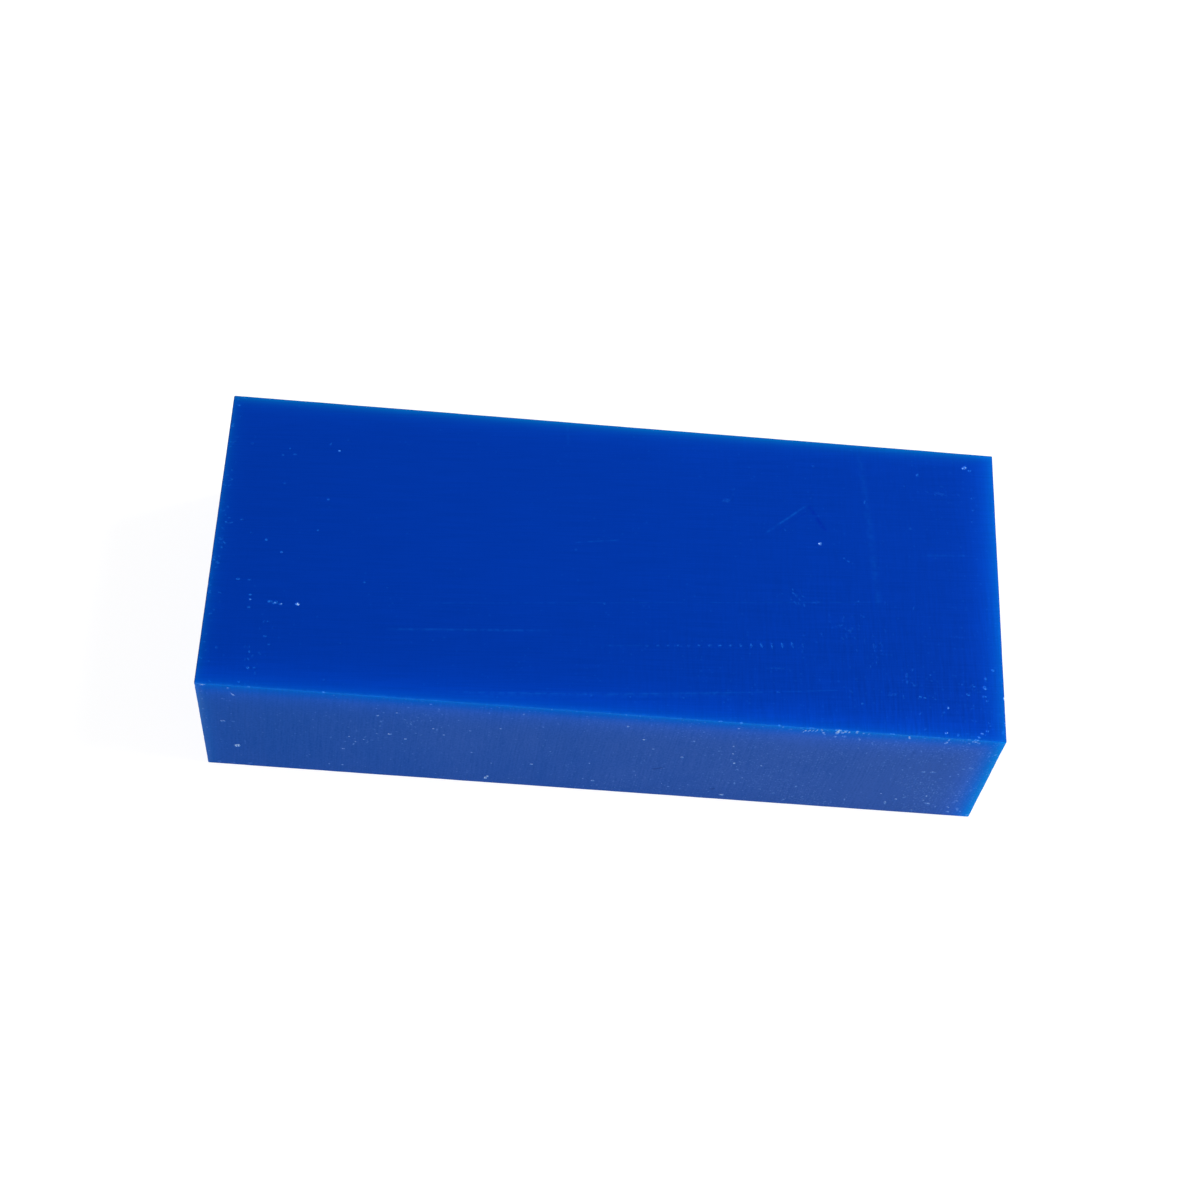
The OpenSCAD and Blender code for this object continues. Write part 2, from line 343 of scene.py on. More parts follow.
chips = {
    # across, up, length, width and paleness, then the heading in degrees where there is one
    "top": (
        (136.6, 48, 0.95, 0.75, 1, 20), (171, 72.1, 1.6, 0.9, 0.62, 8), (172.1, 71.4, 0.9, 0.6, 0.34),
        (20.2, 21.6, 1.1, 0.9, 0.9), (25.6, 63, 0.7, 0.6, 0.5), (23.4, 64.6, 0.6, 0.4, 0.25, 60),
        (16.5, 21.3, 0.9, 0.6, 0.75, 10), (15.4, 21.6, 1.1, 0.8, 0.5, 30), (14.2, 21.7, 1.2, 0.8, 0.4),
        (6.5, 26.9, 1, 0.5, 0.4, 10), (11.1, 4.7, 0.8, 0.6, 0.6), (159.7, 69.1, 0.7, 0.7, 0.45),
        (147.2, 60.3, 1.2, 0.5, 0.2, 85), (165, 7.6, 0.9, 0.45, 0.6, 80),
        (158.8, 9.9, 0.8, 0.4, 0.45, -30), (159.8, 9.7, 0.7, 0.4, 0.45, -10),
        (175.5, 18, 0.9, 0.6, 0.45, -10), (173.7, 15.7, 1, 0.6, 0.45, -60),
        (173.4, 13.4, 1.2, 0.9, 0.5, -50), (173.1, 11.1, 0.9, 0.6, 0.68, 10),
        (169.6, 11.3, 0.7, 0.5, 0.5), (173.9, 10.1, 0.7, 0.5, 0.4, 30), (171, 13.5, 0.6, 0.4, 0.4),
        (164.4, 1.3, 0.9, 0.6, 0.65, 20), (167.1, 0.9, 0.7, 0.5, 0.5, 90),
        (172.5, 1.6, 0.9, 0.6, 0.65, -20), (173.6, 2.5, 0.8, 0.6, 0.55),
        (171.7, 0.8, 1.1, 0.5, 0.55, -20), (142.3, 44.4, 0.8, 0.4, 0.25, -40),
        (143.2, 43.8, 1.1, 0.4, 0.16, -15), (115.1, 57.8, 1.8, 1.2, 0.1, 20), (116.5, 61, 0.9, 0.6, 0.07),
        (127.2, 8.4, 0.9, 0.4, 0.25), (155.9, 15.1, 1.6, 0.8, 0.1, 80), (156, 13.3, 1, 0.6, 0.12, 80),
        (126.6, 14.4, 4.5, 0.4, 0.08, 3), (164.9, 64.3, 3.5, 0.7, 0.07, -12),
        (148.7, 22, 1.6, 0.7, 0.09, 100), (143.3, 25.4, 1.4, 0.6, 0.09, 100), (34.3, 28.5, 0.7, 0.5, 0.2),
        (24.3, 49.6, 0.7, 0.5, 0.3), (9.7, 21.9, 0.8, 0.5, 0.5), (9.7, 19.9, 0.8, 0.5, 0.42),
        (15.3, 34.7, 0.7, 0.5, 0.55), (9.6, 1.1, 0.6, 0.5, 0.35), (152.7, 9.9, 2.2, 0.6, 0.09, 10),
        (9.6, 23.1, 0.7, 0.5, 0.35), (12.4, 4.8, 0.7, 0.5, 0.22), (11, 6.9, 0.7, 0.5, 0.2, 90),
        (11, 8.7, 0.8, 0.5, 0.3, 90), (13.9, 12.9, 0.8, 0.5, 0.32), (14.2, 16.6, 0.7, 0.5, 0.18),
        (14.9, 10.9, 0.7, 0.5, 0.18), (8.9, 26.9, 0.9, 0.5, 0.22), (3.9, 9.1, 0.7, 0.5, 0.2),
        (5.6, 42.4, 0.8, 0.5, 0.28), (11.6, 37.6, 0.8, 0.6, 0.3), (22.7, 41.2, 0.7, 0.5, 0.25),
        (12.9, 60.7, 0.7, 0.5, 0.22), (15.6, 61.1, 0.8, 0.5, 0.25), (8.2, 39.1, 0.7, 0.5, 0.13),
        (5.6, 63.2, 0.8, 0.6, 0.12), (2.1, 53, 0.8, 0.6, 0.2), (131.2, 33.6, 1.3, 0.7, 0.09, 100),
        (145.9, 7.1, 0.7, 0.7, 0.2), (135.6, 32.2, 2.2, 0.6, 0.06, 10),
    ),
    "front": (
        (7.9, 9.7, 1.5, 1.3, 1.6), (5.1, 21.2, 1.2, 0.8, 0.85), (7.5, 21.4, 0.9, 0.4, 0.4),
        (8.1, 34, 1.5, 0.6, 0.7, -60), (7.2, 36.7, 0.7, 0.8, 0.7), (39.6, 29.2, 0.9, 0.8, 0.6),
        (42.3, 20.7, 1, 0.7, 0.8), (45.8, 18.9, 0.7, 0.9, 0.85), (64.6, 2.8, 2, 1, 1, 60),
        (89, 4.9, 0.9, 0.8, 0.95), (74.5, 10.9, 0.8, 0.8, 0.75), (98.9, 26.9, 1, 0.7, 0.8),
        (108.1, 19.7, 0.9, 0.8, 0.7), (120, 18.8, 1.1, 0.7, 0.8, 80), (119.3, 2.4, 1.2, 0.9, 0.75),
        (71.6, 34.6, 1.1, 0.6, 0.5, 80), (94.7, 32.5, 1, 0.7, 0.7, 80), (162.7, 21.2, 1.2, 0.8, 0.64),
        (164.8, 21.4, 1.6, 0.8, 0.62, 5), (165.9, 9.3, 1.2, 0.6, 0.65, 75),
        (166.9, 5.6, 1.7, 0.9, 0.64, -15), (157.1, 4.5, 2.2, 0.7, 0.65, 100),
        (159.3, 6.5, 1.1, 0.7, 0.75, 110), (147.6, 4.6, 1.1, 0.5, 0.5, 100),
        (135.6, 9.4, 1, 0.7, 0.52, 90), (172.9, 24.5, 1.4, 1, 0.45, -20), (174.3, 3.8, 2, 0.9, 0.45, 110),
        (165.6, 6.9, 1.2, 0.5, 0.72, 70), (171.9, 4.4, 1, 0.6, 0.62, -40),
        (175.2, 2.7, 0.9, 0.6, 0.5, -60), (173.1, 7.9, 1.2, 0.8, 0.5), (161.3, 8.1, 0.8, 0.6, 0.4),
        (170.8, 3.1, 0.8, 0.5, 0.4), (175.2, 32.7, 1.4, 0.4, 0.4, 75), (175.4, 30.8, 1, 0.4, 0.35, 75),
        (175.2, 13.5, 1.4, 0.4, 0.35, 80), (168.8, 34.8, 0.9, 0.5, 0.5, -60),
        (169.8, 36.4, 0.9, 0.5, 0.5, -50), (166, 33.3, 0.8, 0.5, 0.4), (158.3, 26.8, 0.8, 0.5, 0.4),
        (157.3, 28.5, 0.9, 0.5, 0.3, 80), (171.3, 23.9, 0.9, 0.6, 0.4), (166.7, 25.6, 0.9, 0.7, 0.35),
        (167.3, 18.5, 0.8, 0.5, 0.35), (165.4, 13.9, 0.9, 0.4, 0.4, 80),
        (148.8, 33.1, 1.4, 0.5, 0.4, -70), (140.2, 35, 1.1, 0.8, 0.6, 20),
        (145.7, 34.5, 1.2, 0.6, 0.6, -70), (142, 35.4, 1, 0.7, 0.55, 30),
        (133.3, 36.5, 1.9, 0.42, 0.85, 60), (134.2, 36.8, 1.7, 0.36, 0.85, 62),
        (135, 37, 1.5, 0.36, 0.75, 65), (135.8, 37.2, 1.3, 0.36, 0.7, 70),
        (136.9, 37.5, 0.9, 0.5, 0.65, -50), (137.4, 36.3, 1.9, 0.6, 0.7, -60),
        (140.4, 37, 1.9, 1, 1.05, 85), (141.5, 37, 1, 0.7, 1.15, -60), (142.1, 37.4, 0.8, 0.6, 0.9),
        (142.9, 37.3, 1, 0.5, 0.95, 80), (144.6, 37.5, 1, 0.6, 0.72, -60),
        (146.1, 37.4, 0.8, 0.5, 0.55, -50), (147.3, 37.3, 0.8, 0.4, 0.5, 80),
        (128.3, 37.6, 0.9, 0.4, 0.6, 85), (130.1, 36.9, 0.7, 0.5, 0.5), (156.4, 36.9, 1.5, 0.6, 0.8, -70),
        (164.8, 35.8, 1.2, 0.7, 0.75, 60), (165.1, 37, 1.3, 0.5, 0.6, 80),
        (171.9, 36.7, 1.3, 0.7, 0.6, -50), (170.8, 37.2, 1.5, 0.7, 0.75, -20),
        (177.1, 1.1, 1, 0.7, 0.5, 40), (10.3, 1.3, 1.6, 0.6, 0.3), (164, 1.5, 1, 0.7, 0.5),
        (172.3, 2.1, 1.1, 0.8, 0.6), (1.8, 37.5, 1.6, 0.6, 0.7), (1.3, 34.5, 0.7, 0.5, 0.4, 90),
        (1.2, 31, 0.7, 0.5, 0.35, 90), (1.1, 26.4, 0.7, 0.5, 0.4, 90), (1.5, 22.2, 0.6, 0.5, 0.3, 90),
        (1.3, 17.6, 0.8, 0.5, 0.3, 90), (3.2, 1.2, 1.4, 0.5, 0.4), (6.4, 0.9, 1.2, 0.5, 0.35),
        (0.9, 6.1, 0.9, 0.5, 0.35, 90),
    ),
    "frontTopEdge": (
        (134.6, 0, 1.4, 0.5, 0.3), (140.4, -0.2, 1.6, 0.9, 0.8), (142, -0.2, 1.2, 0.6, 0.5),
        (144.6, -0.1, 0.8, 0.5, 0.6), (127.4, 0, 0.8, 0.5, 0.4), (118.9, 0, 0.9, 0.6, 0.4),
        (152.3, 0, 1.2, 0.4, 0.35), (169.4, 0, 0.8, 0.5, 0.4), (171.1, 0, 1.3, 0.6, 0.5),
        (27.9, 0, 0.9, 0.5, 0.4), (114.5, 0, 0.9, 0.5, 0.35), (11.8, 0, 0.8, 0.5, 0.3),
    ),
    "rightTopEdge": (
        (11.1, 0, 1.1, 0.7, 0.8), (4.5, 0, 1.2, 0.6, 0.3), (7.7, 0, 1.6, 0.5, 0.2),
    ),
    "leftTopEdge": (
        (15.7, 0, 1.6, 0.6, 0.3), (33.6, 0, 2, 0.5, 0.2), (51.3, 0, 1.5, 0.6, 0.3),
    ),
    "leftFrontEdge": (
        (36.5, 0, 1.2, 0.6, 0.5), (34.3, 0, 0.8, 0.5, 0.4), (30.2, 0, 1, 0.5, 0.35),
        (26.1, 0, 0.8, 0.5, 0.4), (20.8, 0, 1.2, 0.5, 0.35), (17.5, 0, 0.8, 0.5, 0.3),
        (12.6, 0, 1.4, 0.5, 0.35), (7.4, 0, 1, 0.5, 0.3), (2.9, 0, 1.2, 0.6, 0.35),
    ),
}

specks = {
    # across and up of small round pricks
    "top": (
        (39.5, 27.6), (27.3, 66.1), (14.3, 62.6), (156.6, 65.6), (135.2, 69.2), (128.7, 50.9), (86, 4),
        (94.5, 4.5), (106.1, 5.2), (87.9, 27.7), (162.3, 9.6), (145.4, 33.4), (143, 25.5), (172.4, 63.6),
        (150.4, 20.9), (168.4, 13.8), (161.2, 15.6), (115.1, 4.9), (27.7, 3.1), (14, 53), (30.5, 12.5),
        (172.3, 57.2), (172.6, 60.4), (172.3, 66), (1.2, 12.3), (2.1, 18.6), (0.9, 26.7), (1.7, 32.4),
        (2.6, 41.2), (1.1, 46.8), (1.9, 55.5), (1.3, 63.1), (2.2, 70.4),
    ),
    "front": (
        (39.3, 32.4), (40.4, 26.4), (40.1, 24.3), (32.3, 15.6), (34.7, 15.8), (36.6, 17.2), (42.6, 8.4),
        (28.5, 3.9), (31.6, 3.9), (76.2, 29.4), (63.9, 34.1), (77, 23.3), (78.4, 17.9), (60.2, 25.1),
        (48, 22), (52, 24.8), (57.6, 29.7), (110.9, 6.4), (118.8, 26.9), (115.9, 24.1), (120, 8.7),
        (127.5, 6.8), (143.6, 9.1), (155.4, 8.9), (160.8, 7.7), (171.2, 24.1), (157.9, 21.5),
        (153.2, 24.6), (170, 33.5), (151.8, 33.7), (142.2, 35.1), (146.2, 30.4), (148.5, 28.3),
        (122.7, 11.8), (31.8, 12), (98, 11.2), (66.8, 27.2), (53.7, 31.8), (87.6, 13.5), (101.3, 22.8),
        (130.8, 5.2), (163, 11.1), (160.5, 9.1), (172.8, 8), (168, 2.2), (33.2, 18.2), (60.8, 14.7),
        (39.5, 20.5), (65.5, 10.1), (51.2, 36.2), (43.9, 31), (47, 23.5), (76.7, 20.5), (86.8, 5.6),
        (109.8, 27.9), (119.2, 23.3), (119.2, 20.4), (126.2, 18.5), (137.7, 4.5), (133.6, 2.3),
        (118.8, 35.4), (54.4, 22.2), (46.4, 33.9),
    ),
}

speckPaleness = {"top": (0.07, 0.2), "front": (0.36, 0.78)}
speckSize = {"top": (0.45, 0.7), "front": (0.5, 0.75)}  # mm

chatterRow = {
    # a row left by a cutter that skipped across the work face: dashes at first, then ticks across it
    "count": 16,
    "start": (97.8, 17.7),
    "pitch": 2.32,  # mm
    "climb": 0.09,
    "lengths": ((0, 0.6, 0.9, 1), (0.9, 0.9, 2.0, 1.0)),  # share of the row passed, and mm
    "width": 0.5,  # mm
    "depth": 0.05,  # mm
    "paleness": ((0, 0.7, 0.93, 1), (0.09, 0.34, 0.32, 0.1)),
    "ticksFrom": 0.6,
    "headings": (4, 105),  # degrees, of the dashes and of the ticks
}

scattered = {
    # how many chance marks lie on each of the other faces and edges
    "back": 46, "rightEnd": 20, "leftEnd": 18, "base": 40, "backBaseEdge": 10, "rightFrontEdge": 3,
    "rightBackEdge": 4, "leftBackEdge": 4,
}

chance = {
    # a chance mark has a strength from 0 to 1. Its length, depth and paleness are given at 0, and then
    # what they gain up to 1.
    "seed": 11,
    "margins": (1.5, 1),  # mm kept free at the ends and at the sides
    "length": (0.5, 1.1),  # mm
    "growthSpread": (0.6, 1),
    "squat": (0.45, 0.9),
    "depth": (0.06, 0.14),  # mm
    "paleness": (0.3, 0.5),
}

scuffs = (
    # patches of faint chance strokes: face, middle, spread each way, how many, heading and paleness
    ("top", (143, 25.5), (6, 5), 30, 105, 0.08), ("top", (131.8, 33), (1.6, 1.2), 9, 120, 0.14),
    ("top", (149.6, 20.5), (1.2, 3), 10, 112, 0.11), ("top", (156, 14), (1.2, 2.5), 8, 100, 0.11),
    ("top", (166, 7), (7, 4.5), 26, 20, 0.11), ("top", (165, 64.3), (2.6, 0.8), 7, -20, 0.08),
    ("top", (1.6, 40), (0.9, 20), 44, 0, 0.2), ("top", (13, 10), (1.6, 5), 12, 90, 0.1),
    ("front", (49, 27), (5, 3.5), 26, 80, 0.32), ("front", (35.5, 17), (2.4, 1.4), 8, 60, 0.35),
    ("front", (168, 16), (5, 10), 36, 80, 0.42), ("front", (126, 12), (7, 8), 20, 80, 0.36),
)

stroke = {
    "margin": 0.7,  # mm kept free round the face
    "length": (0.5, 1.2),  # mm
    "width": (0.35, 0.5),  # mm
    "depth": 0.03,  # mm
    "turn": 25,  # degrees, how far the headings spread
    "strength": (0.4, 1.3),
}


def scatteredMarks(dice):
    # chance marks, most of them small and faint, because the strength is a chance number squared
    marks = []
    for sheet, count in scattered.items():
        wide, tall = (np.abs(way) @ (high - low) for way in directions(sheet)[1:3])
        onEdge = sheet.endswith("Edge")
        endMargin, sideMargin = chance["margins"]
        for _ in range(count):
            strength = dice.uniform() ** 2
            least, growth = chance["length"]
            long = least + growth * strength * dice.uniform(*chance["growthSpread"])
            across = dice.uniform(endMargin, wide - endMargin)
            up = 0 if onEdge else dice.uniform(sideMargin, tall - sideMargin)
            heading = 0 if onEdge else dice.uniform(-90, 90)
            size = (long, long * dice.uniform(*chance["squat"]))
            depth = chance["depth"][0] + chance["depth"][1] * strength
            pale = chance["paleness"][0] + chance["paleness"][1] * strength
            marks.append(mark(sheet, across, up, size, depth, pale, heading))
    return marks


def scuffMarks(dice):
    # strokes strewn round the middle of each patch, thinning out with the distance from it
    marks = []
    margin = stroke["margin"]
    for sheet, middle, spread, count, heading, paleness in scuffs:
        tall = width if sheet == "top" else thickness
        for _ in range(count):
            across = np.clip(middle[0] + dice.normal(0, spread[0]), margin, length - margin)
            up = np.clip(middle[1] + dice.normal(0, spread[1]), margin, tall - margin)
            size = (dice.uniform(*stroke["length"]), dice.uniform(*stroke["width"]))
            turn = heading + dice.normal(0, stroke["turn"])
            pale = paleness * dice.uniform(*stroke["strength"])
            marks.append(mark(sheet, across, up, size, stroke["depth"], pale, turn))
    return marks


def allMarks():
    dice = np.random.default_rng(chance["seed"])
    marks = []
    shallow, deepening = marking["chipDepth"]
    for sheet, rows in chips.items():
        for across, up, long, wide, paleness, *heading in rows:
            depth = (shallow + deepening * min(wide, 1)) * math.sqrt(paleness)
            marks.append(mark(sheet, across, up, (long, wide), depth, paleness, *heading))
    for sheet, places in specks.items():
        for across, up in places:
            wide = dice.uniform(*speckSize[sheet])
            size = (wide, wide * marking["speckSquat"])
            paleness = dice.uniform(*speckPaleness[sheet])
            marks.append(mark(sheet, across, up, size, marking["speckDepth"], paleness))
    for n in range(chatterRow["count"]):
        passed = n / (chatterRow["count"] - 1)
        across = chatterRow["start"][0] + n * chatterRow["pitch"]
        up = chatterRow["start"][1] + n * chatterRow["pitch"] * chatterRow["climb"]
        size = (np.interp(passed, *chatterRow["lengths"]), chatterRow["width"])
        paleness = np.interp(passed, *chatterRow["paleness"])
        heading = chatterRow["headings"][passed >= chatterRow["ticksFrom"]]
        marks.append(mark("top", across, up, size, chatterRow["depth"], paleness, heading))
    return marks + scatteredMarks(dice) + scuffMarks(dice)


def stepNear(marks):
    # the lattice step wanted at a point: the mark's own fine step, growing with the distance from its rim
    def wanted(points):
        step = np.full(len(points), block["latticeStep"] * 2)  # so long that it asks for no halving
        for one in marks:
            gap = np.linalg.norm(points - one["place"], axis=1) - one["reach"]
            np.minimum(step, one["fine"] + block["stepGrowth"] * np.maximum(gap, 0), out=step)
        return step
    return wanted


def pressMarks(points, marks):
    # a mark is a bowl, 1 - distance squared, over an oval with a ragged rim, and the deepest one counts
    depth = np.zeros(len(points))
    paleness = np.zeros(len(points))
    ragged = 1 + marking["raggedRim"] * ripple(points, *marking["raggedRipple"])
    searchShare, searchMore = marking["search"]
    for one in marks:
        offset = points - one["place"]
        near = np.flatnonzero(np.abs(offset).max(axis=1) < one["reach"] * searchShare + searchMore)
        if not len(near):
            continue
        offset = offset[near]
        spread = sum((offset @ one[way]) ** 2 for way in ("along", "aside", "outward"))
        bowl = np.clip(1 - spread * ragged[near], 0, 1)
        depth[near] = np.maximum(depth[near], one["depth"] * bowl)
        pale = one["paleness"] * np.clip(bowl * marking["paleRise"], 0, 1)
        paleness[near] = np.maximum(paleness[near], pale)
    return depth, paleness


def makeBlock():
    points, quads = boxLattice(*(latticeLines(a, b) for a, b in zip(low, high)))
    mesh = bpy.data.meshes.new("waxBlock")
    mesh.from_pydata(points.tolist(), [], quads.tolist())
    marks = allMarks()
    print("marks:", len(marks), "on a lattice of", len(points), "points")
    refine(mesh, stepNear(marks))
    sharp = readPoints(mesh)
    worn, outward = roundEdges(sharp)
    depth, paleness = pressMarks(sharp, marks)
    worn -= outward * depth[:, None]
    leanLeftEnd(worn)
    mesh.vertices.foreach_set("co", (worn * mm).astype(np.float32).ravel())
    bruise = mesh.attributes.new("bruise", "FLOAT", "POINT")
    bruise.data.foreach_set("value", paleness.astype(np.float32))
    mesh.shade_smooth()
    mesh.update()
    print("block:", len(mesh.vertices), "points,", len(mesh.polygons), "faces")
    piece = bpy.data.objects.new("wax_block_body", mesh)
    bpy.context.scene.collection.objects.link(piece)
    return piece


# Finish of the wax. Where four numbers stand in a row, a value runs through the first two and gives the
# last two at its ends, or 0 and 1 where they are left out.

wax = {
    "deepBlue": (0.0, 0.034, 0.356, 1),
    "sawnBlueWithPaintedLight": (0.0, 0.081, 0.466, 1),  # the same wax where the saw left it rough, paler and brighter partly as painted light: a painted floor reflection and a lift against the sides' lower light
    "dustAndFloorReflection": (0.036, 0.037, 0.024, 1),  # what fine dust adds to the sawn sides, together with a painted reflection of the floor
    "edgeHighlightAndScratchBlue": (0.008, 0.2, 0.8, 1),  # the painted highlight along the edges, and the pale scratches
    "crushedBlue": (0.009, 0.11, 0.31, 1),  # what a bruise adds to the blue of a planed face
    "crushedSawn": (0.065, 0.13, 0.21, 1),  # and to that of a sawn face
    "whiteWax": (0.45, 0.66, 1.0, 1),  # wax crushed right through
    "scratchedDark": (0.0, 0.018, 0.33, 1),
    "smudge": (0.01, 0.04, 0.24, 1),
    "rimBlue": (0.0, 0.02, 0.17, 1),  # the outermost rim of the work face
    "planedFacing": (0.55, 0.85),  # how far up or down a planed face looks, as the work face and base do
    "planedRoughness": 0.36,
    "sawnRoughness": 0.55,
    "lineRoughness": 0.08,
    "bruiseRoughness": 0.3,
    "specular": 0.025,
    "planedGroove": 0.004,  # mm, depth of the planed lines
    "sawnGroove": 0.008,  # mm, depth of the saw lines
}

dusting = {
    # dust on the sawn sides, with a painted reflection of the floor in it, rising towards the right end
    "rise": (-89, 75, 0.45, 1.0),  # by mm along the block
    "cloudSize": 25,  # mm
    "cloudDustAndReflection": (0.3, 0.7, 0.85, 1.15),  # by the noise of the clouds, as is the next
    "cloudTone": (0.3, 0.7, 0.985, 1.015),
    "grainSize": 0.5,  # mm
    "grain": (0.3, 0.7, -0.085, 0.085),
    "sawLines": 0.11,
    "toneInDustAndReflection": 2.2,  # how far the saw lines show in the dust and the painted floor reflection
    "toneInSawn": 0.6,  # and in the blue under it
    "toneInPlaned": 0.095,  # and how far the planed lines show
}

# a painted highlight along the edges, and the darker outer rim of the work face
edgeHighlightAndRim = {
    "width": 0.22,  # mm
    "byHeight": (4, 30, 0.1, 0.35),  # by mm up from the base
    "byPlace": (0, 50, 1.5, 1.0),  # by mm along the block
    "noise": {"Scale": 0.55, "Detail": 3.0},
    "patches": (0.35, 0.62, 0.35, 1.0),
    "rim": (0, 0.33, 0.8, 0.0),  # by mm from the outer planes
    "rimFacing": (0.1, 0.4),
}

flecking = {
    # the share of the cells that hold a pale fleck, on the sawn faces and on the planed ones
    "sawnAcross": (-5, 78, 0.12, 1.15),  # by mm along the block
    "sawnUp": (0, 20, 1.0, 0.6),  # by mm up from the base
    "onEnds": (0.5, 0.9, 1.0, 0.3),  # fewer on the two ends
    "calmMiddle": (60.0, -38.1, 13.0),  # mm, the middle of a patch of the front side with hardly a fleck
    "calmReach": (5, 11, 0.15, 1.0),  # by mm from there
    "planedAcross": (-89, 80, 0.04, 0.2),
    "planedUp": (-38, 10, 1.0, 0.45),  # by mm towards the back
    "patchSize": 9,  # mm
    "patches": (0.4, 0.6, 0.1, 1.1),
    "leastSize": 0.15,
    "leastStrength": 0.4,
}

fleckKinds = (
    # spacing and size in mm, then the share and the strength on a planed and on a sawn face
    (0.6, 0.38, (1.0, 1.0), (0.07, 0.34)),
    (1.6, 0.42, (0.08, 0.5), (0.12, 1.2)),
)

crumbs = {"size": 0.4, "strength": (0.36, 0.6, 0.1, 1.2)}  # how a bruise is broken up

edgeLight = {
    # light that the wax lets through near its edges, painted into its colour, by axis. Plus is the right,
    # back and top plane, and minus the left, front and base plane. The blue travels far and the green
    # only a little way, and the clear wax is that in which neither the dust nor the painted floor
    # reflection shows.
    "blueReachPlus": (5.0, 4.7, 5.3),  # mm
    "blueReachMinus": (3.5, 5.5, 4.5),
    "bluePlusPlaned": (0.148, 0.045, 0.265),
    "blueMinusPlaned": (0.028, 0.12, 0.0),
    "bluePlusSawn": (0.36, 0.15, 0.265),
    "blueMinusSawn": (0.065, 0.15, 0.0),
    "blueBend": 1.5,
    "greenBend": 1.0,
    "greenReachPlus": (1.5, 0.95, 1.5),  # mm
    "greenReachMinus": (1.0, 1.2, 1.5),
    "greenPlusPlaned": (0.065, 0.125, 0.035),
    "greenMinusPlaned": (0.043, 0.03, 0.0),
    "greenPlusSawn": (0.23, 0.1, 0.058),
    "greenMinusSawn": (0.109, 0.05, 0.0),
    "greenShare": 0.1,  # green that goes with the wide blue glow
    "blueShare": 0.7,  # blue that goes with the narrow green glow
    "rightSpan": (0, 40),  # mm over which both glows rise under the top edge, right of the middle
    "rightGain": (1.15, 1.5),  # how far the wide and the narrow one rise
    "leftDust": 0.026,  # red that the dust in the worn left corner edges adds
    "leftDustWidth": 2,  # mm
    "clearReachPlus": (3.7, 3.7, 3.1),  # mm
    "clearReachMinus": (3.7, 3.7, 3.1),
    "clearBend": 2.8,
    "clearUnderTop": (1.0, 0.88),  # under the top edge, up to the middle and at the right end
}

toolPaths = {
    # heading of the lines in degrees, how long one runs and how far apart they lie, in mm
    "planed": (3.5, 14, 0.4),
    "chatter": (92, 8, 0.6),
    "sawn": (-3, 12, 0.42),
}

toolNoise = {"Scale": 1.0, "Detail": 3.0, "Roughness": 0.6}
toolSpread = (0.3, 0.7)
chatterAcross = (-10, 60, 0.35, 1.7)  # the chatter is strongest near the front right corner
chatterUp = (10, -30, 0.4, 1.0)

scratches = (
    # start and end on the work face, width in mm and strength; a strength under 0 is darker than the wax
    ((123.8, 49.4), (133.8, 58.3), 0.8, 0.15), ((126.2, 50), (134.2, 56.8), 0.6, -0.25),
    ((134, 58.2), (138.2, 51), 1.6, -0.45), ((77.5, 75.6), (77.9, 69.4), 1, 0.05),
    ((39.6, 16.9), (76.5, 19.7), 0.9, 0.1), ((84.5, 16.6), (97.5, 17.7), 0.5, 0.06),
    ((45, 24), (107.5, 29.7), 0.4, 0.08), ((107.5, 29.7), (150.7, 33.6), 0.5, 0.06),
    ((54.5, 2.4), (87.5, 4.5), 0.6, 0.1), ((87.5, 4.5), (127.6, 8.5), 0.5, 0.09),
    ((127.6, 8.5), (140.6, 10), 0.5, 0.07), ((80.5, 43.2), (91, 44.8), 0.5, 0.12),
    ((58, 1.8), (120, 7.2), 2.2, 0.05),
    ((146.2, 74), (147.8, 56), 2.2, 0.045), ((147.8, 58), (150.1, 31.5), 2.4, 0.055),
    ((159.7, 46.9), (172.8, 48), 1, 0.05),
)

scratchGrain = {"size": 1.3, "detail": 3.0, "strength": (0.38, 0.62, 0.15, 1.4)}
scratchTaper = 12.0  # the larger, the shorter its thin ends

smudges = (
    # the same on the front side
    ((102, 12.9), (104.4, 14.1), 1, 0.5), ((116.3, 4.8), (117.3, 5.6), 1, 0.5),
)


def turned(degrees):
    # the directions along and across a heading in the plane of the work face
    turn = math.radians(degrees)
    return (math.cos(turn), math.sin(turn), 0), (-math.sin(turn), math.cos(turn), 0)


def glowGroup():
    # for each axis: how near the point is to that axis's two planes, as exp(-(distance / reach) ** bend),
    # times the gain of each plane, left out on the planes' own faces. The glow is the root of the sum of
    # the three axes' squares.
    vectors = ("Point", "Normal", "Plus Reach", "Minus Reach", "Plus", "Minus")
    tree, start, end = newGroup("edgeGlow", vectors, ("Bend",), "Glow")
    point = vectorMaths("SUBTRACT", start["Point"], midPoint)
    square = vectorMaths("MULTIPLY", start["Normal"], start["Normal"])
    beside = vectorMaths("SUBTRACT", (1, 1, 1), square)
    parts = []
    for side, sign in (("Plus", 1), ("Minus", -1)):
        signed = vectorMaths("MULTIPLY", point, (sign,) * 3)
        gap = vectorMaths("ABSOLUTE", vectorMaths("SUBTRACT", halfSides, signed))
        steps = vectorMaths("DIVIDE", gap, start[side + " Reach"])
        falls = []
        for step in split(steps):
            bent = maths("POWER", step, start["Bend"])
            falls.append(maths("EXPONENT", times(bent, -1.0)))
        parts.append(vectorMaths("MULTIPLY", joined(*falls), start[side]))
    lit = vectorMaths("MULTIPLY", vectorMaths("ADD", *parts), beside)
    tree.links.new(vectorMaths("LENGTH", lit, out="Value"), end["Glow"])
    return tree


